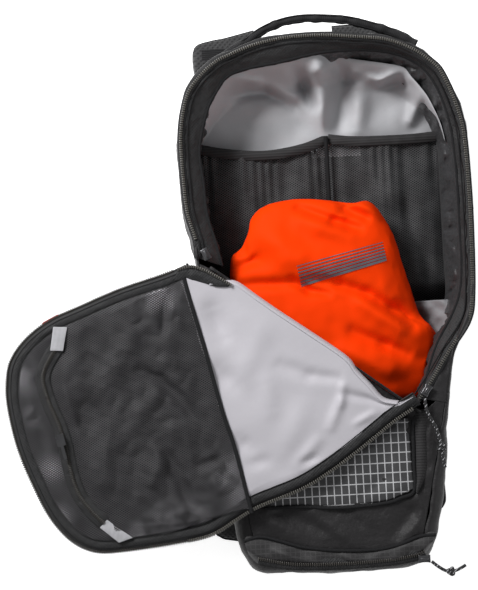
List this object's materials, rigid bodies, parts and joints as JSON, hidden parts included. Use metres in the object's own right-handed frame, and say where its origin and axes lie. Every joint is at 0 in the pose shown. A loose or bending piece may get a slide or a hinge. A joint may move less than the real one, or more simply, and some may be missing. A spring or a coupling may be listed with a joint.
{
  "type": "avalanche airbag backpack",
  "caption": "Ski backpack lying on its back with its zipped front flap folded open, showing a stowed airbag, mesh pockets and lining, with blower, harness and grab handle.",
  "frame": {"origin": "middle of the back's rest plane, under the middle of the pack's outline", "axes": "+X to the right seen from the front with the handle up, +Y along the back to the grab handle, +Z out of the front"},
  "size_m": [0.423, 0.5267, 0.1557],
  "materials": {
    "shell_fabric": "near-black ripstop, slight sheen",
    "panel_fabric": "near-black smooth nylon with soft folds",
    "facing_tape": "black woven facing tape",
    "zip_coil": "black coil with pale glints",
    "grid_fabric": "dark grey ripstop with a white grid",
    "ribbed_tape": "ribbed black tape",
    "base_fabric": "black coated nylon",
    "frame_plastic": "black polyethylene sheet",
    "stay_metal": "satin",
    "lining_fabric": "pale grey lining with a soft sheen",
    "mesh_fabric": "black open mesh",
    "airbag_fabric": "bright orange nylon",
    "divider_fabric": "dark grey",
    "housing_plastic": "black glass-filled nylon",
    "motor_metal": "brushed",
    "duct_rubber": "black",
    "capacitor_wrap": "dark blue sleeve",
    "module_plastic": "dark grey",
    "button_plastic": "red",
    "grommet_plastic": "black",
    "orange_webbing": "orange webbing",
    "slider_metal": "black painted zinc",
    "cord_sheath": "black braided sheath with pale flecks",
    "webbing": "black woven webbing",
    "foam_mesh": "black spacer mesh over foam",
    "buckle_plastic": "black acetal",
    "trigger_plastic": "orange"
  },
  "bodies": {
    "pack": {"body_shell": "shell_fabric", "opening_surround": "facing_tape", "lower_front_panel": "panel_fabric", "main_zip_chain": "zip_coil", "grid_pocket": "grid_fabric", "side_zip_cover": "ribbed_tape", "base_panel": "base_fabric", "base_zip_chain": "zip_coil", "frame_sheet": "frame_plastic", "frame_stays": "stay_metal", "back_lining": "lining_fabric", "mesh_pocket_left": "mesh_fabric", "mesh_pocket_right": "mesh_fabric", "pocket_hems": "facing_tape", "airbag_bundle": "airbag_fabric", "bulkhead": "divider_fabric", "blower_housing": "housing_plastic", "blower_motor": "motor_metal", "air_duct": "duct_rubber", "supercapacitor_pack": "capacitor_wrap", "control_module": "module_plastic", "cable_grommet": "grommet_plastic", "handle_anchors": "webbing", "spine_pad": "foam_mesh", "lumbar_pad": "foam_mesh", "base_bumper": "base_fabric", "strap_anchors": "webbing"},
    "impeller": {"impeller": "housing_plastic"},
    "power_button": {"power_button": "button_plastic"},
    "grab_handle": {"grab_handle": "webbing"},
    "front_flap": {"flap_panel": "shell_fabric", "flap_edge_band": "facing_tape", "flap_lining": "lining_fabric", "flap_zip_chain": "zip_coil", "flap_mesh_pocket": "mesh_fabric", "flap_pocket_zip": "zip_coil", "flap_edge_tab": "orange_webbing"},
    "flap_pocket_slider": {"flap_pocket_slider": "slider_metal"},
    "main_slider_right": {"main_slider_right": "slider_metal"},
    "main_slider_left": {"main_slider_left": "slider_metal"},
    "base_slider": {"base_slider": "slider_metal"},
    "pull_right": {"pull_cord_right": "cord_sheath", "pull_knot_right": "cord_sheath"},
    "pull_base": {"pull_cord_base": "cord_sheath", "pull_knot_base": "cord_sheath"},
    "trigger_handle": {"trigger_handle": "trigger_plastic"},
    "hip_wing_left": {"hip_wing_left": "foam_mesh", "hip_buckle_tongue": "buckle_plastic"},
    "hip_wing_right": {"hip_wing_right": "foam_mesh", "hip_buckle_socket": "buckle_plastic"},
    "shoulder_strap_left": {"shoulder_strap_left": "foam_mesh"},
    "ladder_lock_left": {"ladder_lock_left": "buckle_plastic"},
    "lower_webbing_left": {"lower_webbing_left": "webbing"},
    "sternum_strap_left": {"sternum_strap_left": "webbing"},
    "shoulder_strap_right": {"shoulder_strap_right": "foam_mesh"},
    "ladder_lock_right": {"ladder_lock_right": "buckle_plastic"},
    "lower_webbing_right": {"lower_webbing_right": "webbing"},
    "sternum_strap_right": {"sternum_strap_right": "webbing"}
  },
  "joints": [
    {"name": "flap_hinge", "type": "hinge", "parent": "pack", "child": "front_flap", "pos_m": [-0.107, 0.04239, 0.13382], "axis": [-0.7899, 0.6101, -0.0609], "range_deg": [0, 186]},
    {"name": "flap_pocket_zip_slide", "type": "slide", "parent": "front_flap", "child": "flap_pocket_slider", "axis": [-0.2224, 0.9745, -0.0305], "range_m": [-0.026, 0.026]},
    {"name": "right_zip_slide", "type": "slide", "parent": "pack", "child": "main_slider_right", "axis": [0.5592, 0.8249, -0.0823], "range_m": [0, 0.045]},
    {"name": "left_zip_slide", "type": "slide", "parent": "pack", "child": "main_slider_left", "axis": [-0.4226, 0.9018, -0.09], "range_m": [0, 0.03]},
    {"name": "base_zip_slide", "type": "slide", "parent": "pack", "child": "base_slider", "axis": [-0.9979, -0.0037, -0.064], "range_m": [0, 0.12]},
    {"name": "right_pull_hinge", "type": "hinge", "parent": "main_slider_right", "child": "pull_right", "pos_m": [0.0806, -0.08761, 0.14639], "axis": [-0.9743, -0.2242, 0.0224], "range_deg": [0, 150]},
    {"name": "base_pull_hinge", "type": "hinge", "parent": "base_slider", "child": "pull_base", "pos_m": [0.07798, -0.23667, 0.15261], "axis": [-0.1556, -0.9829, 0.0981], "range_deg": [0, 150]},
    {"name": "grab_handle_hinge", "type": "hinge", "parent": "pack", "child": "grab_handle", "pos_m": [0.002, 0.2445, 0.092], "axis": [1, 0, 0], "range_deg": [0, 55]},
    {"name": "impeller_spin", "type": "hinge", "parent": "pack", "child": "impeller", "pos_m": [0, -0.172, 0.05], "axis": [0, 0, 1], "continuous": true},
    {"name": "power_button_press", "type": "slide", "parent": "pack", "child": "power_button", "axis": [0, 0, -1], "range_m": [0, 0.002], "stiffness_N_per_m": 400, "springref_m": -0.001},
    {"name": "trigger_pull", "type": "slide", "parent": "shoulder_strap_left", "child": "trigger_handle", "axis": [0, -1, 0], "range_m": [0, 0.015]},
    {"name": "hip_wing_left_hinge", "type": "hinge", "parent": "pack", "child": "hip_wing_left", "pos_m": [-0.06, -0.196, 0.0165], "axis": [0, -1, 0], "range_deg": [0, 45]},
    {"name": "hip_wing_right_hinge", "type": "hinge", "parent": "pack", "child": "hip_wing_right", "pos_m": [0.057, -0.183, 0.0165], "axis": [0, 1, 0], "range_deg": [0, 45]},
    {"name": "shoulder_strap_left_hinge", "type": "hinge", "parent": "pack", "child": "shoulder_strap_left", "pos_m": [-0.08, 0.256, 0.0153], "axis": [1, 0, 0], "range_deg": [0, 11]},
    {"name": "ladder_lock_left_tilt", "type": "hinge", "parent": "shoulder_strap_left", "child": "ladder_lock_left", "pos_m": [-0.08, -0.0145, 0.01], "axis": [1, 0, 0], "range_deg": [0, 7]},
    {"name": "lower_webbing_left_hinge", "type": "hinge", "parent": "pack", "child": "lower_webbing_left", "pos_m": [-0.08, -0.158, 0.0125], "axis": [-1, 0, 0], "range_deg": [0, 40]},
    {"name": "sternum_slide_left", "type": "slide", "parent": "shoulder_strap_left", "child": "sternum_strap_left", "axis": [0, 1, 0], "range_m": [-0.005, 0.045]},
    {"name": "shoulder_strap_right_hinge", "type": "hinge", "parent": "pack", "child": "shoulder_strap_right", "pos_m": [0.064, 0.256, 0.0153], "axis": [1, 0, 0], "range_deg": [0, 11]},
    {"name": "ladder_lock_right_tilt", "type": "hinge", "parent": "shoulder_strap_right", "child": "ladder_lock_right", "pos_m": [0.064, -0.0145, 0.01], "axis": [1, 0, 0], "range_deg": [0, 7]},
    {"name": "lower_webbing_right_hinge", "type": "hinge", "parent": "pack", "child": "lower_webbing_right", "pos_m": [0.064, -0.158, 0.0125], "axis": [-1, 0, 0], "range_deg": [0, 40]},
    {"name": "sternum_slide_right", "type": "slide", "parent": "shoulder_strap_right", "child": "sternum_strap_right", "axis": [0, 1, 0], "range_m": [-0.005, 0.045]}
  ],
  "couplings": [
    {"joint": "lower_webbing_left_hinge", "follows": "shoulder_strap_left_hinge", "ratio": 2.2},
    {"joint": "lower_webbing_right_hinge", "follows": "shoulder_strap_right_hinge", "ratio": 2.2}
  ]
}
